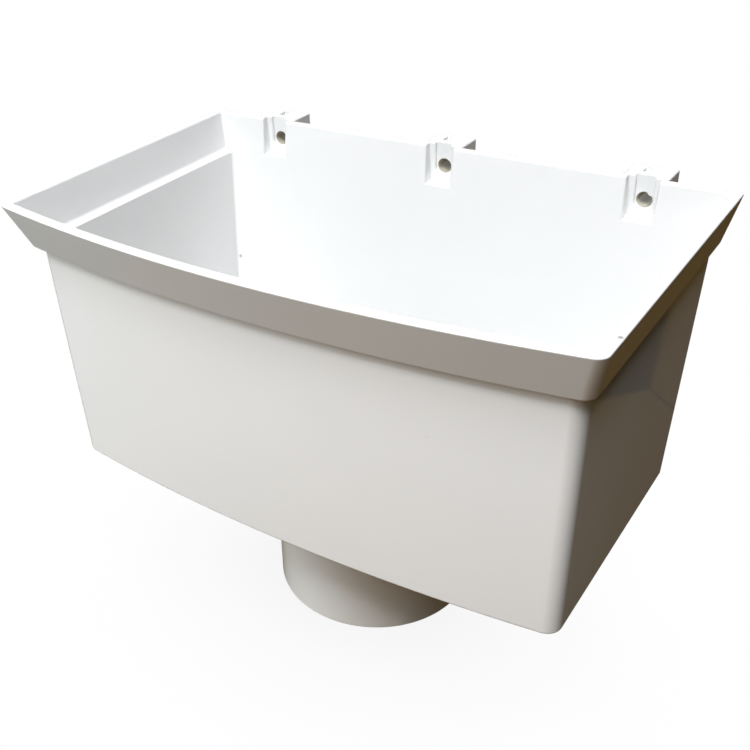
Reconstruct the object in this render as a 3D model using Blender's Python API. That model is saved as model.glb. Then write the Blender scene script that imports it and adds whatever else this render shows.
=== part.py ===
"""Rainwater hopper head in white plastic, moulded in one piece.

An open bucket with a flared collar on its front and sides, a flat back wall
with three fixing lugs, and a round outlet spigot under its floor.

Metres, +Z up. X runs across the hopper, Y = 0 is the house wall that the lugs
stand against, the hopper's front faces -Y, and Z = 0 is the level of the
fixing pads on the lugs' rear faces.
"""
import math

import bmesh
import bpy

for old in list(bpy.data.objects):
    bpy.data.objects.remove(old, do_unlink=True)

# Rim, seen from above
RIM_HALF_WIDTH = 0.0946
RIM_SIDE_DEPTH = 0.1082
RIM_BOW = 0.0088
RIM_WALL = 0.0037
RIM_CORNER_RADIUS = 0.0054
RIM_EDGE_RADIUS = 0.0006

# Flared collar
COLLAR_HEIGHT = 0.0153
COLLAR_SIDE_FLARE = 0.0038
COLLAR_FRONT_FLARE = 0.0065
COLLAR_BOW = 0.0077
COLLAR_WALL = 0.0027
COLLAR_EDGE_RADIUS = 0.0004
STEP_SIDE = 0.0021
STEP_FRONT = 0.0014
STEP_SLOPE = 0.0004

# Bucket
BUCKET_HEIGHT = 0.0941
BODY_WALL = 0.0028
WALL_DRAFT = 0.0010
BACK_WALL = 0.0025
FLOOR_THICKNESS = 0.0028
SIDE_TAPER = 0.0019
FRONT_TAPER = 0.0038
BACK_LEAN = 0.0100
FLOOR_BOW = 0.0060
BODY_CORNER_RADIUS = 0.0031
BACK_CORNER_RADIUS = 0.0009
BOTTOM_EDGE_RADIUS = 0.0010

# Inside
LEDGE_DEPTH = 0.0135
LEDGE_SLOPE = 0.0004
LEDGE_FILLET = 0.0012
LEDGE_EDGE_RADIUS = 0.0004
FLOOR_FILLET = 0.0013
INNER_CORNER_RADIUS = 0.0011

# Outlet spigot
SPIGOT_RADIUS = 0.0340
SPIGOT_WALL = 0.0028
SPIGOT_LENGTH = 0.0510
SPIGOT_AXIS_FROM_BACK = 0.0456
SPIGOT_END_RADIUS = 0.0006
SPIGOT_ROOT_FILLET = 0.0004
BORE_MOUTH_RADIUS = 0.0012

# Fixing lugs
LUG_SPACING = 0.0666
LUG_WIDTH = 0.0136
LUG_DEPTH = 0.0106
LUG_HEIGHT = 0.0215
LUG_GUSSET = 0.0040
LUG_EDGE_RADIUS = 0.0005
PAD_BELOW_RIM = 0.0157

# Screw pocket in each lug
POCKET_TOP_WIDTH = 0.0098
POCKET_FLOOR_WIDTH = 0.0090
POCKET_DEPTH = 0.0126
POCKET_FLOOR_SLOPE = 0.0007
POCKET_BACK_TOP = 0.0025
POCKET_BACK_FLOOR = 0.0031
SCREW_DIAMETER = 0.0048
SCREW_BELOW_RIM = 0.0076
SLOT_DEPTH = 0.0012

# Small recess in each lug's top
RECESS_WIDTH = 0.0022
RECESS_LENGTH = 0.0036
RECESS_DEPTH = 0.0020
RECESS_DRAFT = 0.1
RECESS_OFFSET = 0.0013
RECESS_BEHIND_WALL = 0.0061

# How far cutters and joined pieces reach into or past their neighbours
OVERLAP = 0.0015
CUT_CLEARANCE = 0.0020

BACK_CORNER_STEPS = 3
FRONT_CORNER_STEPS = 7
BOW_STEPS = 24
EDGE_STEPS = 3
SMALL_EDGE_STEPS = 2
SPIGOT_STEPS = 80
SCREW_STEPS = 32

# Degrees: edges turned further than these are rounded on the lugs, and shaded sharp
ROUNDED_FROM = 40
SHARP_FROM = 30

PLASTIC_COLOUR = (0.83, 0.83, 0.82, 1.0)
PLASTIC_ROUGHNESS = 0.16

RIM_TOP = PAD_BELOW_RIM
BUCKET_BOTTOM = RIM_TOP - BUCKET_HEIGHT
BACK_FACE = -LUG_DEPTH
SPIGOT_Y = BACK_FACE - SPIGOT_AXIS_FROM_BACK


class Plan:
    """One level of the bucket: straight back and sides, a bowed front and rounded corners."""

    def __init__(self, half_width, back, apex, bow_radius, front_corner, back_corner):
        self.half_width = half_width
        self.back = back
        self.apex = apex
        self.bow_radius = bow_radius
        self.front_corner = front_corner
        self.back_corner = back_corner

    def inset(self, amount, back_amount=None, front_corner=None):
        """The parallel outline inside this one."""
        corner = max(self.front_corner - amount, INNER_CORNER_RADIUS)
        return Plan(
            self.half_width - amount,
            self.back - (amount if back_amount is None else back_amount),
            self.apex + amount,
            self.bow_radius - amount,
            corner if front_corner is None else front_corner,
            self.back_corner,
        )

    def points(self):
        """The outline's points, counterclockwise from the back right corner."""
        w = self.half_width
        right = []
        r = self.back_corner
        for k in range(BACK_CORNER_STEPS + 1):
            a = math.radians(90 - 90 * k / BACK_CORNER_STEPS)
            right.append((w - r + r * math.cos(a), self.back - r + r * math.sin(a)))
        centre_y = self.apex + self.bow_radius
        r = self.front_corner
        cx = w - r
        cy = centre_y - math.sqrt((self.bow_radius - r) ** 2 - cx ** 2)
        end = math.atan2(cy - centre_y, cx)
        for k in range(FRONT_CORNER_STEPS + 1):
            a = end * k / FRONT_CORNER_STEPS
            right.append((cx + r * math.cos(a), cy + r * math.sin(a)))
        bow = []
        for k in range(1, BOW_STEPS):
            a = end + (-math.pi - 2 * end) * k / BOW_STEPS
            bow.append((self.bow_radius * math.cos(a), centre_y + self.bow_radius * math.sin(a)))
        left = [(-x, y) for x, y in reversed(right)]
        return right + bow + left


def blend(a, b, t):
    """The plan a share t of the way from a to b."""
    return Plan(*[getattr(a, n) * (1 - t) + getattr(b, n) * t for n in vars(a)])


def bowed(half_width, back, side_depth, bow, front_corner):
    """A plan from its width, its depth along the sides and how far its front bows out."""
    radius = (half_width ** 2 + bow ** 2) / (2 * bow)
    return Plan(half_width, back, BACK_FACE - side_depth - bow, radius, front_corner, BACK_CORNER_RADIUS)


def back_at(depth):
    """The back wall's outer face at a depth below the rim: one plane that leans forward."""
    return BACK_FACE - BACK_LEAN * depth / BUCKET_HEIGHT


RIM = bowed(RIM_HALF_WIDTH, back_at(0), RIM_SIDE_DEPTH, RIM_BOW, RIM_CORNER_RADIUS)
COLLAR_FOOT = bowed(
    RIM_HALF_WIDTH - COLLAR_SIDE_FLARE,
    back_at(COLLAR_HEIGHT),
    RIM_SIDE_DEPTH - COLLAR_FRONT_FLARE,
    COLLAR_BOW,
    RIM_CORNER_RADIUS,
)
BODY_TOP_DEPTH = COLLAR_HEIGHT + STEP_SLOPE
BODY_TOP = bowed(
    COLLAR_FOOT.half_width - STEP_SIDE,
    back_at(BODY_TOP_DEPTH),
    RIM_SIDE_DEPTH - COLLAR_FRONT_FLARE - STEP_FRONT,
    COLLAR_BOW,
    BODY_CORNER_RADIUS,
)
BODY_FOOT = bowed(
    BODY_TOP.half_width - SIDE_TAPER,
    back_at(BUCKET_HEIGHT),
    RIM_SIDE_DEPTH - COLLAR_FRONT_FLARE - STEP_FRONT - FRONT_TAPER,
    FLOOR_BOW,
    BODY_CORNER_RADIUS,
)


def collar_at(depth):
    """The collar's outer outline at a depth below the rim."""
    return blend(RIM, COLLAR_FOOT, depth / COLLAR_HEIGHT)


def body_at(depth):
    """The bucket's outer outline at a depth below the rim, on the taper below the collar."""
    return blend(BODY_TOP, BODY_FOOT, (depth - BODY_TOP_DEPTH) / (BUCKET_HEIGHT - BODY_TOP_DEPTH))


LEDGE_OUTER = collar_at(LEDGE_DEPTH).inset(COLLAR_WALL, BACK_WALL)
RIM_INNER = RIM.inset(RIM_WALL, BACK_WALL)


def flare_at(depth):
    """The inside of the flared collar at a depth below the rim."""
    return blend(RIM_INNER, LEDGE_OUTER, depth / LEDGE_DEPTH)


def cavity_at(depth, extra=0.0):
    """The inside of the bucket below the ledge; extra pulls all four sides in."""
    share = (depth - BODY_TOP_DEPTH) / (BUCKET_HEIGHT - BODY_TOP_DEPTH)
    wall = BODY_WALL + WALL_DRAFT * share
    return body_at(depth).inset(wall + extra, BACK_WALL + extra, INNER_CORNER_RADIUS)


def quarter(radius, steps=EDGE_STEPS):
    """Pairs along a quarter circle: distance in from the wall, and distance back from the edge."""
    turns = [math.radians(90 * k / steps) for k in range(steps + 1)]
    return [(radius * (1 - math.cos(a)), radius * (1 - math.sin(a))) for a in turns]


def bucket_rings():
    """Every level of the bucket, from the underside up the outside and down the inside."""
    rings = []
    for inset, up in reversed(quarter(BOTTOM_EDGE_RADIUS)):
        depth = BUCKET_HEIGHT - up
        rings.append((body_at(depth).inset(inset, front_corner=BODY_CORNER_RADIUS), depth))
    rings.append((BODY_TOP, BODY_TOP_DEPTH))
    for inset, up in reversed(quarter(COLLAR_EDGE_RADIUS)):
        depth = COLLAR_HEIGHT - up
        rings.append((collar_at(depth).inset(inset, 0.0, RIM_CORNER_RADIUS), depth))
    for inset, down in quarter(RIM_EDGE_RADIUS):
        rings.append((collar_at(down).inset(inset, front_corner=RIM_CORNER_RADIUS), down))
    for inset, down in reversed(quarter(RIM_EDGE_RADIUS)):
        rings.append((flare_at(down).inset(-inset), down))
    for inset, up in quarter(LEDGE_FILLET):
        depth = LEDGE_DEPTH - up
        rings.append((flare_at(depth).inset(inset, 0.0), depth))
    ledge_foot = LEDGE_DEPTH + LEDGE_SLOPE
    for inset, down in reversed(quarter(LEDGE_EDGE_RADIUS, SMALL_EDGE_STEPS)):
        depth = ledge_foot + down
        wall = cavity_at(depth)
        rings.append((wall.inset(-inset, 0.0, INNER_CORNER_RADIUS), depth))
    floor_depth = BUCKET_HEIGHT - FLOOR_THICKNESS
    for inset, up in quarter(FLOOR_FILLET):
        depth = floor_depth - up
        rings.append((cavity_at(depth, inset), depth))
    return rings


def mesh_object(name, verts, faces):
    """A closed mesh with its faces pointing out."""
    mesh = bpy.data.meshes.new(name)
    mesh.from_pydata(verts, [], faces)
    work = bmesh.new()
    work.from_mesh(mesh)
    bmesh.ops.recalc_face_normals(work, faces=work.faces)
    work.to_mesh(mesh)
    work.free()
    made = bpy.data.objects.new(name, mesh)
    bpy.context.scene.collection.objects.link(made)
    return made


def loft(name, loops):
    """A closed body through loops of equal length, capped at both ends."""
    count = len(loops[0])
    verts = [p for loop in loops for p in loop]
    faces = [list(range(count)), list(range(len(verts) - count, len(verts)))]
    for level in range(len(loops) - 1):
        a = level * count
        b = a + count
        for k in range(count):
            n = (k + 1) % count
            faces.append([a + k, a + n, b + n, b + k])
    return mesh_object(name, verts, faces)


def turned(name, profile, centre, steps):
    """A profile of (radius, z) pairs turned about a vertical axis, from its foot to its top."""
    loops = []
    for radius, z in profile:
        turns = [2 * math.pi * k / steps for k in range(steps)]
        loops.append([(centre[0] + radius * math.cos(a), centre[1] + radius * math.sin(a), z) for a in turns])
    return loft(name, loops)


def helper(made):
    """Marks a body that only shapes the hopper."""
    made.hide_render = True
    made.display_type = "WIRE"
    return made


def combine(target, other, operation):
    """Joins another body to the target or cuts it away."""
    step = target.modifiers.new(other.name, "BOOLEAN")
    step.operation = operation
    step.solver = "EXACT"
    step.object = helper(other)


def bevelled(made, width):
    """Rounds every edge of a small body."""
    step = made.modifiers.new("edges", "BEVEL")
    step.width = width
    step.segments = SMALL_EDGE_STEPS
    step.limit_method = "ANGLE"
    step.angle_limit = math.radians(ROUNDED_FROM)
    return made


def rim_z(depth):
    """The height of a level that is given as a depth below the rim."""
    return RIM_TOP - depth


def make_bucket():
    loops = [[(x, y, rim_z(depth)) for x, y in plan.points()] for plan, depth in bucket_rings()]
    return loft("hopper_head", loops)


def make_spigot():
    """The outlet's outside, from its lower end up into the floor."""
    end = BUCKET_BOTTOM - SPIGOT_LENGTH
    profile = []
    for inset, up in reversed(quarter(SPIGOT_END_RADIUS)):
        profile.append((SPIGOT_RADIUS - inset, end + up))
    for outset, down in quarter(SPIGOT_ROOT_FILLET):
        profile.append((SPIGOT_RADIUS + outset, BUCKET_BOTTOM - down))
    profile.append((SPIGOT_RADIUS + SPIGOT_ROOT_FILLET, BUCKET_BOTTOM + OVERLAP))
    return turned("spigot_outside", profile, (0.0, SPIGOT_Y), SPIGOT_STEPS)


def make_bore():
    """The outlet's bore, with a rounded mouth in the floor."""
    end = BUCKET_BOTTOM - SPIGOT_LENGTH
    radius = SPIGOT_RADIUS - SPIGOT_WALL
    floor = BUCKET_BOTTOM + FLOOR_THICKNESS
    profile = [(radius + SPIGOT_END_RADIUS + CUT_CLEARANCE, end - CUT_CLEARANCE)]
    profile.append((radius, end + SPIGOT_END_RADIUS))
    for outset, down in quarter(BORE_MOUTH_RADIUS):
        profile.append((radius + outset, floor - down))
    profile.append((radius + BORE_MOUTH_RADIUS, floor + CUT_CLEARANCE))
    return turned("spigot_bore", profile, (0.0, SPIGOT_Y), SPIGOT_STEPS)


def across(name, outline, x0, x1, narrow=0.0):
    """An outline of (y, z) pairs carried from x0 to x1."""
    return loft(name, [[(x0 + narrow, y, z) for y, z in outline], [(x1 - narrow, y, z) for y, z in outline]])


def make_lug(name, x):
    """A block behind the back wall: flush with the rim, upright at the rear, with a sloping foot."""
    foot = rim_z(LUG_HEIGHT)
    inside = BACK_FACE - OVERLAP
    low = back_at(LUG_HEIGHT + LUG_GUSSET) - OVERLAP
    outline = [(inside, RIM_TOP), (0.0, RIM_TOP), (0.0, foot), (low, foot - LUG_GUSSET)]
    return across(name, outline, x - LUG_WIDTH / 2, x + LUG_WIDTH / 2)


def pocket_back(depth):
    """The rear face of the screw pocket at a depth below the rim."""
    share = depth / POCKET_DEPTH
    return BACK_FACE - BACK_WALL + POCKET_BACK_TOP * (1 - share) + POCKET_BACK_FLOOR * share


def make_pocket(name, x):
    """The open-topped pocket in the bucket's inner face: its sides draw in towards its floor."""
    front = BACK_FACE - BACK_WALL - CUT_CLEARANCE
    rise = (POCKET_TOP_WIDTH - POCKET_FLOOR_WIDTH) / 2 / POCKET_DEPTH
    top_half = POCKET_TOP_WIDTH / 2 + rise * CUT_CLEARANCE
    floor_half = POCKET_FLOOR_WIDTH / 2
    back_top = pocket_back(-CUT_CLEARANCE)
    back_floor = pocket_back(POCKET_DEPTH)
    high = RIM_TOP + CUT_CLEARANCE
    low = rim_z(POCKET_DEPTH)
    top = [
        (x - top_half, front, high),
        (x + top_half, front, high),
        (x + top_half, back_top, high),
        (x - top_half, back_top, high),
    ]
    floor = [
        (x - floor_half, front, low - POCKET_FLOOR_SLOPE),
        (x + floor_half, front, low - POCKET_FLOOR_SLOPE),
        (x + floor_half, back_floor, low),
        (x - floor_half, back_floor, low),
    ]
    return loft(name, [floor, top])


def make_slot(name, x):
    """The slot down from the rim behind the pocket, round at its foot about the screw hole."""
    radius = SCREW_DIAMETER / 2
    level = rim_z(SCREW_BELOW_RIM)
    front = BACK_FACE - BACK_WALL
    outline = [(x + radius, RIM_TOP + CUT_CLEARANCE), (x - radius, RIM_TOP + CUT_CLEARANCE)]
    half = SCREW_STEPS // 2
    for k in range(half + 1):
        a = math.pi + math.pi * k / half
        outline.append((x + radius * math.cos(a), level + radius * math.sin(a)))
    near = [(px, front, pz) for px, pz in outline]
    far = [(px, pocket_back(RIM_TOP - pz) + SLOT_DEPTH, pz) for px, pz in outline]
    return loft(name, [near, far])


def make_screw_hole(name, x):
    """The hole through the lug to the house wall."""
    radius = SCREW_DIAMETER / 2
    level = rim_z(SCREW_BELOW_RIM)
    start = BACK_FACE - BACK_WALL
    turns = [2 * math.pi * k / SCREW_STEPS for k in range(SCREW_STEPS)]
    outline = [(x + radius * math.cos(a), level + radius * math.sin(a)) for a in turns]
    return loft(name, [[(px, y, pz) for px, pz in outline] for y in (start, CUT_CLEARANCE)])


def make_recess(name, x):
    """The small drafted recess in the lug's top."""
    cx = x - RECESS_OFFSET
    cy = BACK_FACE + RECESS_BEHIND_WALL
    loops = []
    for up in (-RECESS_DEPTH, CUT_CLEARANCE):
        hy = RECESS_LENGTH / 2 + RECESS_DRAFT * up
        hx = hy * RECESS_WIDTH / RECESS_LENGTH
        z = RIM_TOP + up
        corners = ((-hx, -hy), (hx, -hy), (hx, hy), (-hx, hy))
        loops.append([(cx + across_x, cy + along_y, z) for across_x, along_y in corners])
    return loft(name, loops)


def gloss_white():
    material = bpy.data.materials.new("hopper_head")
    material.use_nodes = True
    shader = material.node_tree.nodes["Principled BSDF"]
    shader.inputs["Base Color"].default_value = PLASTIC_COLOUR
    shader.inputs["Roughness"].default_value = PLASTIC_ROUGHNESS
    shader.inputs["Metallic"].default_value = 0.0
    return material


hopper = make_bucket()
combine(hopper, make_spigot(), "UNION")
lug_places = {"left": -LUG_SPACING, "middle": 0.0, "right": LUG_SPACING}
for side, place in lug_places.items():
    combine(hopper, bevelled(make_lug("lug_" + side, place), LUG_EDGE_RADIUS), "UNION")
combine(hopper, make_bore(), "DIFFERENCE")
for side, place in lug_places.items():
    combine(hopper, make_pocket("pocket_" + side, place), "DIFFERENCE")
    combine(hopper, make_slot("slot_" + side, place), "DIFFERENCE")
    combine(hopper, make_screw_hole("screw_hole_" + side, place), "DIFFERENCE")
    combine(hopper, make_recess("recess_" + side, place), "DIFFERENCE")

hopper.data.materials.append(gloss_white())
hopper.data.shade_smooth()
hopper.data.set_sharp_from_angle(angle=math.radians(SHARP_FROM))
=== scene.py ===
"""The rainwater hopper head in glossy white plastic, in a plain soft studio."""
import math

import bmesh
import bpy
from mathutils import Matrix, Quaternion, Vector


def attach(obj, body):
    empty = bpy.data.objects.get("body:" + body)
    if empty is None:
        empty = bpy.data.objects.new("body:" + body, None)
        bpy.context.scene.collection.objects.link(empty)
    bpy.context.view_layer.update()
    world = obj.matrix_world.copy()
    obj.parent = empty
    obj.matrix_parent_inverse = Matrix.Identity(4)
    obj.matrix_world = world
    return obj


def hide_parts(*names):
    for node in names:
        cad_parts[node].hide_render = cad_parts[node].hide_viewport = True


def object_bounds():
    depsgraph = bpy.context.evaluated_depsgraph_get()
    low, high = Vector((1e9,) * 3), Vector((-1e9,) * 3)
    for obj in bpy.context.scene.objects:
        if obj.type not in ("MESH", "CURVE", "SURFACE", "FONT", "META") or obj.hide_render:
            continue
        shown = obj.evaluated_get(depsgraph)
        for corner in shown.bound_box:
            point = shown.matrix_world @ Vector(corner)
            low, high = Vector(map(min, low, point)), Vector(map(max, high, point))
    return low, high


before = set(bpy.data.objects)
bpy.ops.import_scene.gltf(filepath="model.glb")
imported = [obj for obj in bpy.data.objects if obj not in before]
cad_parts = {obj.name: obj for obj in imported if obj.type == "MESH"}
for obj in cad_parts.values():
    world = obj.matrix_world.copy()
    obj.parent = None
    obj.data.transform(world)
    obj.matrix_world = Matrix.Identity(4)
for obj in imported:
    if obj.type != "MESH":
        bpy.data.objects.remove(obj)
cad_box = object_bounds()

# Camera, in metres, with its lens for a 36 mm sensor and its roll in degrees
CAMERA_PLACE = Vector((0.1502, -0.3044, 0.1255))
CAMERA_AIM = Vector((-0.0233, -0.0735, -0.0469))
CAMERA_ROLL = -3.48
CAMERA_LENS = 49.06
CAMERA_SHIFT = 0.12

# Rim and flared collar
RIM_HALF_WIDTH = 0.09458
RIM_SIDE_DEPTH = 0.1082
RIM_BOW = 0.0088
RIM_WALL = 0.0037
RIM_CORNER_RADIUS = 0.0036
RIM_EDGE_RADIUS = 0.0006
COLLAR_HEIGHT = 0.0153
COLLAR_SIDE_FLARE = 0.0038
COLLAR_FRONT_FLARE = 0.0065
COLLAR_BOW = 0.0077
COLLAR_WALL = 0.0027
COLLAR_EDGE_RADIUS = 0.0003
STEP_SIDE = 0.0021
STEP_FRONT = 0.0023
STEP_SLOPE = 0.0004
STEP_FILLET = 0.0002

# Bucket
BUCKET_HEIGHT = 0.0941
BODY_WALL = 0.0028
WALL_DRAFT = 0.0010
SIDE_DRAFT = 0.0014
BACK_WALL = 0.0025
FLOOR_THICKNESS = 0.0028
SIDE_TAPER = 0.0019
FRONT_TAPER = 0.0029
BACK_LEAN = 0.0100
FLOOR_BOW = 0.0060
BODY_CORNER_RADIUS = 0.0046
BACK_CORNER_RADIUS = 0.0009
BOTTOM_EDGE_RADIUS = 0.0010

# Inside
LEDGE_DEPTH = 0.0135
LEDGE_SLOPE = 0.0004
LEDGE_FILLET = 0.0012
LEDGE_EDGE_RADIUS = 0.0004
FLOOR_FILLET = 0.0013
INNER_CORNER_RADIUS = 0.0011

# Outlet spigot
SPIGOT_RADIUS = 0.0340
SPIGOT_WALL = 0.0028
SPIGOT_LENGTH = 0.0510
SPIGOT_AXIS_FROM_BACK = 0.0456
SPIGOT_END_RADIUS = 0.0006
SPIGOT_ROOT_FILLET = 0.0004
BORE_MOUTH_RADIUS = 0.0012

# Fixing lugs, with their screw pockets and small recesses
LUG_SPACING = 0.0666
LUG_WIDTH = 0.0136
LUG_DEPTH = 0.0106
LUG_HEIGHT = 0.0215
LUG_GUSSET = 0.0040
LUG_EDGE_RADIUS = 0.0005
PAD_BELOW_RIM = 0.0157
POCKET_TOP_WIDTH = 0.0098
POCKET_FLOOR_WIDTH = 0.0090
POCKET_DEPTH = 0.0126
POCKET_FLOOR_SLOPE = 0.0007
POCKET_BACK_TOP = 0.0025
POCKET_BACK_FLOOR = 0.0031
POCKET_FRONT_ROUND = 0.0005
POCKET_TOP_ROUND = 0.0003
POCKET_CORNER = 0.0004
SCREW_DIAMETER = 0.0048
SCREW_BELOW_RIM = 0.0076
SLOT_DEPTH = 0.0012
SLOT_ROUND = 0.0002
SLOT_FOOT_BELOW_HOLE = 0.0005
SLOT_WIDER = 0.0005
RECESS_WIDTH = 0.0022
RECESS_LENGTH = 0.0036
RECESS_DEPTH = 0.0020
RECESS_DRAFT = 0.1
RECESS_OFFSET = 0.0013
RECESS_BEHIND_WALL = 0.0061

# How far cutters and joined pieces reach into or past their neighbours
OVERLAP = 0.0015
CUT_CLEARANCE = 0.0020
HAIR = 0.00001

BACK_CORNER_STEPS = 4
FRONT_CORNER_STEPS = 14
BOW_STEPS = 72
BODY_LEVELS = 6
EDGE_STEPS = 6
SMALL_EDGE_STEPS = 4
SPIGOT_STEPS = 144
SCREW_STEPS = 48

RIM_TOP = PAD_BELOW_RIM
BUCKET_BOTTOM = RIM_TOP - BUCKET_HEIGHT
BACK_FACE = -LUG_DEPTH
SPIGOT_Y = BACK_FACE - SPIGOT_AXIS_FROM_BACK
LUG_PLACES = (-LUG_SPACING, 0.0, LUG_SPACING)

# Soft boxes round the part: compass angle, height angle, distance, width, height and colour in watts
LIGHT_CENTRE = Vector((0.0, -0.07, -0.03))
MIRRORED_LAMPS = (
    ("front_upper", 283, 62, 1.2, 0.6, 0.5, (18.3, 18.3, 18.6)),
    ("front_mid", 270, 46, 1.2, 0.7, 0.4, (3.8, 4.3, 4.4)),
    ("left_level", 180, 8, 1.2, 0.7, 0.4, (2.6, 1.9, 1.2)),
)
UNMIRRORED_LAMPS = (
    ("low_left", 205, -10, 0.5, 0.3, 0.12, (1.20, 1.56, 1.70)),
    ("low_front", 250, -10, 0.5, 0.3, 0.12, (0.62, 0.40, 0.26)),
    ("behind", 104, 3, 1.2, 0.9, 0.24, (9.0, 9.0, 9.0)),
)
FELT = (0.012, 0.010, 0.008, 1.0)

# The floor, and the dim shapes of a room laid just above it for the gloss to mirror
FLOOR_BELOW_PART = 0.0002
FLOOR_REACH = 6.0
FLOOR_FELT = (0.20, 0.17, 0.13, 1.0)
FLOOR_SHADOW = 0.88
SHADOW_REACH = 0.10
SHADOW_FULL = 0.85
BLACK = (0.0, 0.0, 0.0)
CARDS = (
    ("surround", 0.00003, BLACK, ((-0.6, -0.6), (0.8, -0.6), (0.8, 1.0), (-0.6, 1.0))),
    (
        "mat",
        0.00006,
        (0.082, 0.050, 0.014),
        ((-0.347, 0.115), (0.1535, -0.572), (0.8, -0.572), (0.8, 0.9), (-0.347, 0.9)),
    ),
    ("mat_dark", 0.0001, BLACK, ((0.124, 0.109), (0.157, 0.0606), (0.158, 0.288))),
    (
        "mat_seam",
        0.0001,
        BLACK,
        ((0.1244, 0.1085), (0.1236, 0.1095), (0.0996, 0.0924), (0.1004, 0.0914)),
    ),
)

# The plastic's colour with its slight mottle, how its gloss varies, and the scale, detail and depth
# in metres of its three bumps
PLASTIC_COLOUR = (0.811, 0.811, 0.809)
PLASTIC_MOTTLE = (0.802, 0.803, 0.801)
PLASTIC_SMOOTH = 0.035
PLASTIC_DULL = 0.06
MOTTLE_SCALE = 28.0
GLOSS_SCALE = 60.0
WARP = (22.0, 0.0, 0.00010)
SKIN = (260.0, 2.0, 0.000004)
GRAIN = (1600.0, 2.0, 0.0000008)

# Painted shade inside the screw holes: its grey colour, the middle of its reach along Y, and its half
# sizes
PAINTED_HOLE_SHADE = (0.48, 0.45, 0.37)
PAINTED_HOLE_SHADE_BACK = -0.0048
PAINTED_HOLE_SHADE_DEPTH = 0.0090
PAINTED_HOLE_SHADE_REACH = 0.0029

# Small marks: the place, the radius and the colour of each
SPECKS = (
    ((-0.0824, -0.0189, -0.0387), 0.0009, (0.42, 0.41, 0.39)),
    ((0.0935, -0.1079, 0.0157), 0.0009, (0.36, 0.33, 0.30)),
    ((-0.0572, -0.1143, -0.0180), 0.0008, (0.62, 0.62, 0.61)),
    ((0.0506, -0.1147, -0.0219), 0.0009, (0.70, 0.70, 0.69)),
)


class Plan:
    """One level of the bucket: straight back and sides, a bowed front and rounded corners."""

    def __init__(self, half_width, back, apex, bow_radius, front_corner, back_corner):
        self.half_width = half_width
        self.back = back
        self.apex = apex
        self.bow_radius = bow_radius
        self.front_corner = front_corner
        self.back_corner = back_corner

    def inset(self, amount, back_amount=None, front_corner=None):
        """The parallel outline inside this one."""
        corner = max(self.front_corner - amount, INNER_CORNER_RADIUS)
        return Plan(
            self.half_width - amount,
            self.back - (amount if back_amount is None else back_amount),
            self.apex + amount,
            self.bow_radius - amount,
            corner if front_corner is None else front_corner,
            self.back_corner,
        )

    def points(self):
        """The outline's points, counterclockwise from the back right corner."""
        w = self.half_width
        right = []
        r = self.back_corner
        for k in range(BACK_CORNER_STEPS + 1):
            a = math.radians(90 - 90 * k / BACK_CORNER_STEPS)
            right.append((w - r + r * math.cos(a), self.back - r + r * math.sin(a)))
        centre_y = self.apex + self.bow_radius
        r = self.front_corner
        cx = w - r
        cy = centre_y - math.sqrt((self.bow_radius - r) ** 2 - cx ** 2)
        end = math.atan2(cy - centre_y, cx)
        for k in range(FRONT_CORNER_STEPS + 1):
            a = end * k / FRONT_CORNER_STEPS
            right.append((cx + r * math.cos(a), cy + r * math.sin(a)))
        bow = []
        for k in range(1, BOW_STEPS):
            a = end + (-math.pi - 2 * end) * k / BOW_STEPS
            bow.append((self.bow_radius * math.cos(a), centre_y + self.bow_radius * math.sin(a)))
        left = [(-x, y) for x, y in reversed(right)]
        return right + bow + left


def blend(a, b, t):
    """The plan a share t of the way from a to b."""
    return Plan(*[getattr(a, n) * (1 - t) + getattr(b, n) * t for n in vars(a)])


def bowed(half_width, back, side_depth, bow, front_corner):
    """A plan from its width, its depth along the sides and how far its front bows out."""
    radius = (half_width ** 2 + bow ** 2) / (2 * bow)
    return Plan(half_width, back, BACK_FACE - side_depth - bow, radius, front_corner, BACK_CORNER_RADIUS)


def back_at(depth):
    """The back wall's outer face at a depth below the rim: one plane that leans forward."""
    return BACK_FACE - BACK_LEAN * depth / BUCKET_HEIGHT


RIM = bowed(RIM_HALF_WIDTH, back_at(0), RIM_SIDE_DEPTH, RIM_BOW, RIM_CORNER_RADIUS)
COLLAR_FOOT = bowed(
    RIM_HALF_WIDTH - COLLAR_SIDE_FLARE,
    back_at(COLLAR_HEIGHT),
    RIM_SIDE_DEPTH - COLLAR_FRONT_FLARE,
    COLLAR_BOW,
    RIM_CORNER_RADIUS,
)
BODY_TOP_DEPTH = COLLAR_HEIGHT + STEP_SLOPE
BODY_TOP = bowed(
    COLLAR_FOOT.half_width - STEP_SIDE,
    back_at(BODY_TOP_DEPTH),
    RIM_SIDE_DEPTH - COLLAR_FRONT_FLARE - STEP_FRONT,
    COLLAR_BOW,
    BODY_CORNER_RADIUS,
)
BODY_FOOT = bowed(
    BODY_TOP.half_width - SIDE_TAPER,
    back_at(BUCKET_HEIGHT),
    RIM_SIDE_DEPTH - COLLAR_FRONT_FLARE - STEP_FRONT - FRONT_TAPER,
    FLOOR_BOW,
    BODY_CORNER_RADIUS,
)


def collar_at(depth):
    """The collar's outer outline at a depth below the rim."""
    return blend(RIM, COLLAR_FOOT, depth / COLLAR_HEIGHT)


def body_at(depth):
    """The bucket's outer outline at a depth below the rim, on the taper below the collar."""
    return blend(BODY_TOP, BODY_FOOT, (depth - BODY_TOP_DEPTH) / (BUCKET_HEIGHT - BODY_TOP_DEPTH))


LEDGE_OUTER = collar_at(LEDGE_DEPTH).inset(COLLAR_WALL, BACK_WALL)
RIM_INNER = RIM.inset(RIM_WALL, BACK_WALL)


def flare_at(depth):
    """The inside of the flared collar at a depth below the rim."""
    return blend(RIM_INNER, LEDGE_OUTER, depth / LEDGE_DEPTH)


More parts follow.
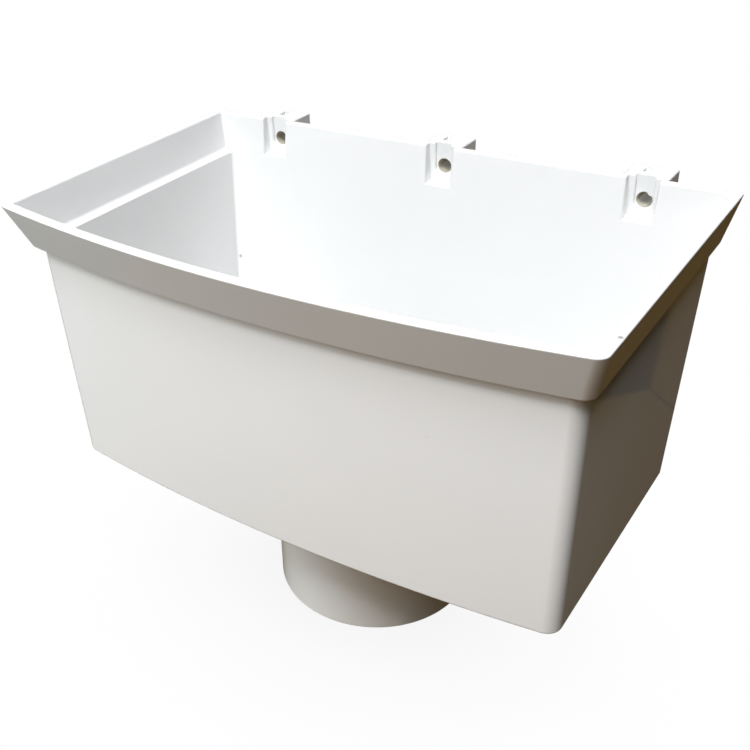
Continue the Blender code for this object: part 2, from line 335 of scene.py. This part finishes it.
def cavity_at(depth, extra=0.0):
    """The inside of the bucket below the ledge; extra pulls all four sides in."""
    share = (depth - BODY_TOP_DEPTH) / (BUCKET_HEIGHT - BODY_TOP_DEPTH)
    wall = BODY_WALL + WALL_DRAFT * share
    inside = body_at(depth).inset(wall + extra, BACK_WALL + extra, INNER_CORNER_RADIUS)
    inside.half_width -= SIDE_DRAFT * share
    return inside


def quarter(radius, steps=EDGE_STEPS):
    """Pairs along a quarter circle: distance in from the wall, and distance back from the edge."""
    turns = [math.radians(90 * k / steps) for k in range(steps + 1)]
    return [(radius * (1 - math.cos(a)), radius * (1 - math.sin(a))) for a in turns]


def between(start, end, count):
    """Evenly spaced values between two others, without either end."""
    return [start + (end - start) * k / count for k in range(1, count)]


def bucket_rings():
    """Every level of the bucket, from the underside up the outside and down the inside."""
    rings = []
    for inset, up in reversed(quarter(BOTTOM_EDGE_RADIUS)):
        depth = BUCKET_HEIGHT - up
        rings.append((body_at(depth).inset(inset, front_corner=BODY_CORNER_RADIUS), depth))
    step_foot = BODY_TOP_DEPTH + STEP_FILLET
    for depth in between(BUCKET_HEIGHT - BOTTOM_EDGE_RADIUS, step_foot, BODY_LEVELS):
        rings.append((body_at(depth), depth))
    for outset, down in quarter(STEP_FILLET, SMALL_EDGE_STEPS):
        depth = BODY_TOP_DEPTH + down
        rings.append((body_at(depth).inset(-outset, 0.0), depth))
    for inset, up in reversed(quarter(COLLAR_EDGE_RADIUS)):
        depth = COLLAR_HEIGHT - up
        rings.append((collar_at(depth).inset(inset, 0.0, RIM_CORNER_RADIUS), depth))
    for depth in between(COLLAR_HEIGHT - COLLAR_EDGE_RADIUS, RIM_EDGE_RADIUS, BODY_LEVELS // 2):
        rings.append((collar_at(depth), depth))
    for inset, down in quarter(RIM_EDGE_RADIUS):
        rings.append((collar_at(down).inset(inset, front_corner=RIM_CORNER_RADIUS), down))
    for inset, down in reversed(quarter(RIM_EDGE_RADIUS)):
        rings.append((flare_at(down).inset(-inset), down))
    for depth in between(RIM_EDGE_RADIUS, LEDGE_DEPTH - LEDGE_FILLET, BODY_LEVELS // 2):
        rings.append((flare_at(depth), depth))
    for inset, up in quarter(LEDGE_FILLET):
        depth = LEDGE_DEPTH - up
        rings.append((flare_at(depth).inset(inset, 0.0), depth))
    ledge_foot = LEDGE_DEPTH + LEDGE_SLOPE
    for inset, down in reversed(quarter(LEDGE_EDGE_RADIUS, SMALL_EDGE_STEPS)):
        depth = ledge_foot + down
        rings.append((cavity_at(depth).inset(-inset, 0.0, INNER_CORNER_RADIUS), depth))
    floor_depth = BUCKET_HEIGHT - FLOOR_THICKNESS
    for depth in between(ledge_foot + LEDGE_EDGE_RADIUS, floor_depth - FLOOR_FILLET, BODY_LEVELS):
        rings.append((cavity_at(depth), depth))
    for inset, up in quarter(FLOOR_FILLET):
        depth = floor_depth - up
        rings.append((cavity_at(depth, inset), depth))
    return rings


def mesh_object(name, verts, faces):
    """A closed mesh with its faces pointing out."""
    mesh = bpy.data.meshes.new(name)
    mesh.from_pydata(verts, [], faces)
    work = bmesh.new()
    work.from_mesh(mesh)
    bmesh.ops.recalc_face_normals(work, faces=work.faces)
    work.to_mesh(mesh)
    work.free()
    made = bpy.data.objects.new(name, mesh)
    bpy.context.scene.collection.objects.link(made)
    return made


def loft(name, loops):
    """A closed body through loops of equal length, capped at both ends."""
    count = len(loops[0])
    verts = [p for loop in loops for p in loop]
    faces = [list(range(count)), list(range(len(verts) - count, len(verts)))]
    for level in range(len(loops) - 1):
        a = level * count
        b = a + count
        for k in range(count):
            n = (k + 1) % count
            faces.append([a + k, a + n, b + n, b + k])
    return mesh_object(name, verts, faces)


def turned(name, profile, centre, steps):
    """A profile of (radius, z) pairs turned about a vertical axis, from its foot to its top."""
    turns = [2 * math.pi * k / steps for k in range(steps)]
    loops = []
    for r, z in profile:
        loops.append([(centre[0] + r * math.cos(a), centre[1] + r * math.sin(a), z) for a in turns])
    return loft(name, loops)


def rim_z(depth):
    """The height of a level that is given as a depth below the rim."""
    return RIM_TOP - depth


def make_bucket():
    loops = [[(x, y, rim_z(depth)) for x, y in plan.points()] for plan, depth in bucket_rings()]
    return loft("hopper_head_moulding", loops)


def make_spigot():
    """The outlet's outside, from its lower end up into the floor."""
    end = BUCKET_BOTTOM - SPIGOT_LENGTH
    profile = []
    for inset, up in reversed(quarter(SPIGOT_END_RADIUS)):
        profile.append((SPIGOT_RADIUS - inset, end + up))
    for outset, down in quarter(SPIGOT_ROOT_FILLET, SMALL_EDGE_STEPS):
        profile.append((SPIGOT_RADIUS + outset, BUCKET_BOTTOM - down))
    profile.append((SPIGOT_RADIUS + SPIGOT_ROOT_FILLET, BUCKET_BOTTOM + OVERLAP))
    return turned("spigot_outside", profile, (0.0, SPIGOT_Y), SPIGOT_STEPS)


def make_bore():
    """The outlet's bore, with a rounded mouth in the floor and a rounded lower end."""
    end = BUCKET_BOTTOM - SPIGOT_LENGTH
    radius = SPIGOT_RADIUS - SPIGOT_WALL
    floor = BUCKET_BOTTOM + FLOOR_THICKNESS
    profile = [(radius + SPIGOT_END_RADIUS, end - CUT_CLEARANCE)]
    for outset, up in reversed(quarter(SPIGOT_END_RADIUS, SMALL_EDGE_STEPS)):
        profile.append((radius + outset, end + up - HAIR))
    for outset, down in quarter(BORE_MOUTH_RADIUS):
        profile.append((radius + outset, floor - down + HAIR))
    profile.append((radius + BORE_MOUTH_RADIUS, floor + CUT_CLEARANCE))
    return turned("spigot_bore", profile, (0.0, SPIGOT_Y), SPIGOT_STEPS)


def make_lug(x):
    """A block behind the back wall: flush with the rim, upright at the rear, with a sloping foot."""
    foot = rim_z(LUG_HEIGHT)
    inside = BACK_FACE - OVERLAP
    low = back_at(LUG_HEIGHT + LUG_GUSSET) - OVERLAP
    outline = [(inside, RIM_TOP), (0.0, RIM_TOP), (0.0, foot), (low, foot - LUG_GUSSET)]
    half = LUG_WIDTH / 2
    block = loft("lug", [[(x - half, y, z) for y, z in outline], [(x + half, y, z) for y, z in outline]])
    step = block.modifiers.new("edges", "BEVEL")
    step.width = LUG_EDGE_RADIUS
    step.segments = SMALL_EDGE_STEPS
    step.limit_method = "ANGLE"
    step.angle_limit = math.radians(40)
    return block


def fall_back(radius, depth):
    """How far an edge of this radius has rounded away at a depth below its top."""
    left = max(radius - depth, 0.0)
    return radius - math.sqrt(radius ** 2 - left ** 2)


def pocket_back(depth):
    """The rear face of the screw pocket at a depth below the rim."""
    share = depth / POCKET_DEPTH
    return BACK_FACE - BACK_WALL + POCKET_BACK_TOP * (1 - share) + POCKET_BACK_FLOOR * share


def pocket_outline(x, depth):
    """The pocket's plan: rounded where its sides meet the wall's face, its own back and the rim."""
    growth = fall_back(POCKET_TOP_ROUND, depth)
    draw = (POCKET_TOP_WIDTH - POCKET_FLOOR_WIDTH) / 2 * depth / POCKET_DEPTH
    half = POCKET_TOP_WIDTH / 2 - draw + growth
    face = back_at(depth) - BACK_WALL + fall_back(RIM_EDGE_RADIUS, depth) - HAIR
    back = pocket_back(depth) + growth
    turns = [math.radians(90 * k / SMALL_EDGE_STEPS) for k in range(SMALL_EDGE_STEPS + 1)]
    r = POCKET_FRONT_ROUND
    side = [(-half - r, face - CUT_CLEARANCE)]
    side += [(-half - r + r * math.sin(a), face + r - r * math.cos(a)) for a in turns]
    r = POCKET_CORNER
    side += [(-half + r - r * math.cos(a), back - r + r * math.sin(a)) for a in turns]
    other = [(-px, y) for px, y in reversed(side)]
    return [(x + px, y) for px, y in side + other]


def make_pocket(x):
    """The open-topped pocket in the bucket's inner face: its sides draw in towards its floor."""
    slope = POCKET_FLOOR_SLOPE / (POCKET_BACK_FLOOR + CUT_CLEARANCE)
    rear = pocket_back(POCKET_DEPTH)
    plan = pocket_outline(x, POCKET_DEPTH)
    loops = [[(px, y, rim_z(POCKET_DEPTH) - slope * (rear - y)) for px, y in plan]]
    for _, down in quarter(RIM_EDGE_RADIUS):
        loops.append([(px, y, rim_z(down) + HAIR) for px, y in pocket_outline(x, down)])
    loops.append([(px, y, rim_z(-CUT_CLEARANCE)) for px, y in pocket_outline(x, 0.0)])
    return loft("pocket", loops)


def make_slot(x):
    """The slot down from the rim behind the pocket, round at its foot about the screw hole."""
    level = rim_z(SCREW_BELOW_RIM + SLOT_FOOT_BELOW_HOLE)
    half = SCREW_STEPS // 2
    sections = [(SLOT_ROUND, -CUT_CLEARANCE / 2)]
    sections += [(SLOT_ROUND - out, SLOT_ROUND - along - HAIR)
                 for along, out in quarter(SLOT_ROUND, SMALL_EDGE_STEPS)[::-1]]
    sections.append((0.0, SLOT_DEPTH))
    loops = []
    for out, along in sections:
        r = SCREW_DIAMETER / 2 + SLOT_WIDER + out
        points = [(r, RIM_TOP + CUT_CLEARANCE), (-r, RIM_TOP + CUT_CLEARANCE)]
        for k in range(half + 1):
            a = math.pi + math.pi * k / half
            points.append((r * math.cos(a), level + r * math.sin(a)))
        loops.append([(x + px, pocket_back(RIM_TOP - pz) + along, pz) for px, pz in points])
    return loft("slot", loops)


def make_screw_hole(x):
    """The hole through the lug to the house wall."""
    radius = SCREW_DIAMETER / 2 - 2 * HAIR
    level = rim_z(SCREW_BELOW_RIM)
    turns = [2 * math.pi * (k + 0.5) / SCREW_STEPS for k in range(SCREW_STEPS)]
    outline = [(x + radius * math.cos(a), level + radius * math.sin(a)) for a in turns]
    ends = (BACK_FACE - BACK_WALL, CUT_CLEARANCE)
    return loft("screw_hole", [[(px, y, pz) for px, pz in outline] for y in ends])


def make_recess(x):
    """The small drafted recess in the lug's top."""
    cx = x - RECESS_OFFSET
    cy = BACK_FACE + RECESS_BEHIND_WALL
    loops = []
    for up in (-RECESS_DEPTH, CUT_CLEARANCE):
        hy = RECESS_LENGTH / 2 + RECESS_DRAFT * up
        hx = hy * RECESS_WIDTH / RECESS_LENGTH
        corners = ((-hx, -hy), (hx, -hy), (hx, hy), (-hx, hy))
        loops.append([(cx + px, cy + py, RIM_TOP + up) for px, py in corners])
    return loft("recess", loops)


def make_hopper():
    """The whole moulding as one finely curved mesh whose flat faces shade flat."""
    hopper = make_bucket()
    steps = [("UNION", make_spigot())]
    steps += [("UNION", make_lug(x)) for x in LUG_PLACES]
    steps.append(("DIFFERENCE", make_bore()))
    cutters = (make_pocket, make_slot, make_screw_hole, make_recess)
    for x in LUG_PLACES:
        steps += [("DIFFERENCE", make(x)) for make in cutters]
    for operation, other in steps:
        step = hopper.modifiers.new(other.name, "BOOLEAN")
        step.operation = operation
        step.solver = "EXACT"
        step.object = other
    bpy.context.view_layer.update()
    cut = hopper.evaluated_get(bpy.context.evaluated_depsgraph_get())
    shape = bpy.data.meshes.new_from_object(cut)
    hopper.modifiers.clear()
    hopper.data = shape
    for _, other in steps:
        bpy.data.objects.remove(other, do_unlink=True)
    shape.shade_smooth()
    shape.set_sharp_from_angle(angle=math.radians(35))
    weigh = hopper.modifiers.new("normals", "WEIGHTED_NORMAL")
    weigh.mode = "FACE_AREA"
    weigh.weight = 80
    weigh.keep_sharp = True
    return hopper


def make_camera():
    data = bpy.data.cameras.new("camera")
    data.lens = CAMERA_LENS
    data.sensor_width = 36.0
    data.shift_x = CAMERA_SHIFT
    data.clip_start = 0.01
    data.clip_end = 20.0
    camera = bpy.data.objects.new("camera", data)
    camera.location = CAMERA_PLACE
    level = (CAMERA_AIM - CAMERA_PLACE).to_track_quat("-Z", "Y")
    roll = Quaternion((0.0, 0.0, 1.0), math.radians(CAMERA_ROLL))
    camera.rotation_mode = "QUATERNION"
    camera.rotation_quaternion = level @ roll
    bpy.context.scene.collection.objects.link(camera)
    bpy.context.scene.camera = camera


def noise(tree, place, scale, detail):
    """A noise pattern over the part's own coordinates, from zero to one."""
    node = tree.nodes.new("ShaderNodeTexNoise")
    node.inputs["Scale"].default_value = scale
    node.inputs["Detail"].default_value = detail
    tree.links.new(place, node.inputs["Vector"])
    return node.outputs[0]


def ranged(tree, value, low, high, start, end):
    """A value from low to high turned into one from start to end."""
    node = tree.nodes.new("ShaderNodeMapRange")
    node.interpolation_type = "SMOOTHSTEP"
    node.inputs["From Min"].default_value = low
    node.inputs["From Max"].default_value = high
    node.inputs["To Min"].default_value = start
    node.inputs["To Max"].default_value = end
    tree.links.new(value, node.inputs["Value"])
    return node.outputs[0]


def tinted(tree, amount, under, over):
    """The over colour laid on the one under it by an amount."""
    node = tree.nodes.new("ShaderNodeMix")
    node.data_type = "RGBA"
    tree.links.new(amount, node.inputs["Factor"])
    for colour, socket in ((under, node.inputs[6]), (over, node.inputs[7])):
        if isinstance(colour, tuple):
            socket.default_value = (*colour, 1.0)
        else:
            tree.links.new(colour, socket)
    return node.outputs[2]


def bumped(tree, height, depth, under=None):
    """A bump of a given depth in metres, on top of another."""
    node = tree.nodes.new("ShaderNodeBump")
    node.inputs["Strength"].default_value = 1.0
    node.inputs["Distance"].default_value = depth
    tree.links.new(height, node.inputs["Height"])
    if under is not None:
        tree.links.new(under, node.inputs["Normal"])
    return node.outputs[0]


def speck(tree, place, centre, size, under, colour):
    """A small mark at a point of the part."""
    node = tree.nodes.new("ShaderNodeVectorMath")
    node.operation = "DISTANCE"
    node.inputs[1].default_value = centre
    tree.links.new(place, node.inputs[0])
    near = ranged(tree, node.outputs["Value"], size * 0.4, size, 1.0, 0.0)
    return tinted(tree, near, under, colour)


def painted_hole_shade(tree, place, x, under):
    """Grey painted shade laid inside one screw hole, darkening its bore."""
    shift = tree.nodes.new("ShaderNodeVectorMath")
    shift.operation = "SUBTRACT"
    shift.inputs[1].default_value = (x, PAINTED_HOLE_SHADE_BACK, rim_z(SCREW_BELOW_RIM))
    tree.links.new(place, shift.inputs[0])
    stretch = tree.nodes.new("ShaderNodeVectorMath")
    stretch.operation = "MULTIPLY"
    stretch.inputs[1].default_value = (1 / PAINTED_HOLE_SHADE_REACH, 1 / PAINTED_HOLE_SHADE_DEPTH, 1 / PAINTED_HOLE_SHADE_REACH)
    tree.links.new(shift.outputs["Vector"], stretch.inputs[0])
    away = tree.nodes.new("ShaderNodeVectorMath")
    away.operation = "LENGTH"
    tree.links.new(stretch.outputs["Vector"], away.inputs[0])
    inside = ranged(tree, away.outputs["Value"], 0.97, 1.0, 1.0, 0.0)
    return tinted(tree, inside, under, PAINTED_HOLE_SHADE)


def plastic():
    """Glossy white moulded plastic with a slight mottle, a faint warp, a few marks and painted shade in
    the screw holes.
    """
    material = bpy.data.materials.new("white_plastic")
    material.use_nodes = True
    tree = material.node_tree
    shader = tree.nodes["Principled BSDF"]
    place = tree.nodes.new("ShaderNodeTexCoord").outputs["Object"]
    mottle = ranged(tree, noise(tree, place, MOTTLE_SCALE, 3.0), 0.35, 0.65, 0.0, 1.0)
    colour = tinted(tree, mottle, PLASTIC_COLOUR, PLASTIC_MOTTLE)
    for centre, size, tint in SPECKS:
        colour = speck(tree, place, centre, size, colour, tint)
    # Painted shade: the inside of each screw hole is coloured grey so that it looks dim
    for x in LUG_PLACES:
        colour = painted_hole_shade(tree, place, x, colour)
    tree.links.new(colour, shader.inputs["Base Color"])
    gloss = ranged(tree, noise(tree, place, GLOSS_SCALE, 4.0), 0.3, 0.7, PLASTIC_SMOOTH, PLASTIC_DULL)
    tree.links.new(gloss, shader.inputs["Roughness"])
    normal = None
    for scale, detail, depth in (WARP, SKIN, GRAIN):
        normal = bumped(tree, noise(tree, place, scale, detail), depth, normal)
    tree.links.new(normal, shader.inputs["Normal"])
    return material


def white_rays(tree):
    """One where a ray comes from the camera, gloss or glass, which see the white studio; else zero."""
    path = tree.nodes.new("ShaderNodeLightPath")
    either = tree.nodes.new("ShaderNodeMath")
    either.operation = "MAXIMUM"
    tree.links.new(path.outputs["Is Camera Ray"], either.inputs[0])
    tree.links.new(path.outputs["Is Glossy Ray"], either.inputs[1])
    both = tree.nodes.new("ShaderNodeMath")
    both.operation = "MAXIMUM"
    tree.links.new(either.outputs[0], both.inputs[0])
    tree.links.new(path.outputs["Is Transmission Ray"], both.inputs[1])
    return both.outputs[0]


def make_world():
    world = bpy.data.worlds.new("studio")
    world.use_nodes = True
    tree = world.node_tree
    felt = tree.nodes["Background"]
    felt.inputs["Color"].default_value = FELT
    felt.inputs["Strength"].default_value = 1.0
    seen = tree.nodes.new("ShaderNodeBackground")
    seen.inputs["Color"].default_value = (1.0, 1.0, 1.0, 1.0)
    mix = tree.nodes.new("ShaderNodeMixShader")
    tree.links.new(white_rays(tree), mix.inputs["Fac"])
    tree.links.new(felt.outputs[0], mix.inputs[1])
    tree.links.new(seen.outputs[0], mix.inputs[2])
    tree.links.new(mix.outputs[0], tree.nodes["World Output"].inputs["Surface"])
    bpy.context.scene.world = world


def soft_box(name, azimuth, elevation, distance, width, height, colour, glossy=True):
    """A soft box at a compass angle (0 right, 90 behind, 180 left, 270 front) and a height angle."""
    data = bpy.data.lights.new(name, "AREA")
    data.shape = "RECTANGLE"
    data.size = width
    data.size_y = height
    data.energy = max(colour)
    data.color = [c / max(colour) for c in colour]
    light = bpy.data.objects.new(name, data)
    a = math.radians(azimuth)
    e = math.radians(elevation)
    way = Vector((math.cos(e) * math.cos(a), math.cos(e) * math.sin(a), math.sin(e)))
    light.location = LIGHT_CENTRE + way * distance
    light.rotation_mode = "QUATERNION"
    light.rotation_quaternion = (-way).to_track_quat("-Z", "Y")
    light.visible_camera = False
    light.visible_glossy = glossy
    bpy.context.scene.collection.objects.link(light)


def card(name, corners, level, colour):
    """A flat card on the floor that the plastic mirrors and the camera doesn't see."""
    mesh = bpy.data.meshes.new(name)
    mesh.from_pydata([(x, y, level) for x, y in corners], [], [list(range(len(corners)))])
    laid = bpy.data.objects.new(name, mesh)
    bpy.context.scene.collection.objects.link(laid)
    material = bpy.data.materials.new(name)
    material.use_nodes = True
    tree = material.node_tree
    glow = tree.nodes.new("ShaderNodeEmission")
    glow.name = "glow"
    glow.inputs["Color"].default_value = (*colour, 1.0)
    tree.links.new(glow.outputs[0], tree.nodes["Material Output"].inputs["Surface"])
    mesh.materials.append(material)
    laid.visible_camera = False
    laid.visible_shadow = False


def make_floor(level):
    """A plain floor that is white but for the object's soft shadow, and dark felt to other light."""
    mesh = bpy.data.meshes.new("floor")
    r = FLOOR_REACH
    mesh.from_pydata([(-r, -r, level), (r, -r, level), (r, r, level), (-r, r, level)], [], [(0, 1, 2, 3)])
    floor = bpy.data.objects.new("floor", mesh)
    bpy.context.scene.collection.objects.link(floor)
    material = bpy.data.materials.new("floor")
    material.use_nodes = True
    tree = material.node_tree
    felt = tree.nodes["Principled BSDF"]
    felt.inputs["Base Color"].default_value = FLOOR_FELT
    felt.inputs["Roughness"].default_value = 0.9
    open_sky = tree.nodes.new("ShaderNodeAmbientOcclusion")
    open_sky.inputs["Distance"].default_value = SHADOW_REACH
    open_sky.samples = 8
    white = tree.nodes.new("ShaderNodeEmission")
    lit = ranged(tree, open_sky.outputs["AO"], 0.0, SHADOW_FULL, FLOOR_SHADOW, 1.0)
    tree.links.new(lit, white.inputs["Strength"])
    mix = tree.nodes.new("ShaderNodeMixShader")
    tree.links.new(white_rays(tree), mix.inputs["Fac"])
    tree.links.new(felt.outputs[0], mix.inputs[1])
    tree.links.new(white.outputs[0], mix.inputs[2])
    tree.links.new(mix.outputs[0], tree.nodes["Material Output"].inputs["Surface"])
    mesh.materials.append(material)


make_camera()
hopper = make_hopper()
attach(hopper, "root")
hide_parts("hopper_head")
hopper.data.materials.clear()
hopper.data.materials.append(plastic())

make_world()
for lamp in MIRRORED_LAMPS:
    soft_box(*lamp)
for lamp in UNMIRRORED_LAMPS:
    soft_box(*lamp, glossy=False)
floor_level = cad_box[0].z - FLOOR_BELOW_PART
make_floor(floor_level)
for name, above, colour, corners in CARDS:
    card(name, corners, floor_level + above, colour)

bpy.context.scene.view_settings.view_transform = "Standard"
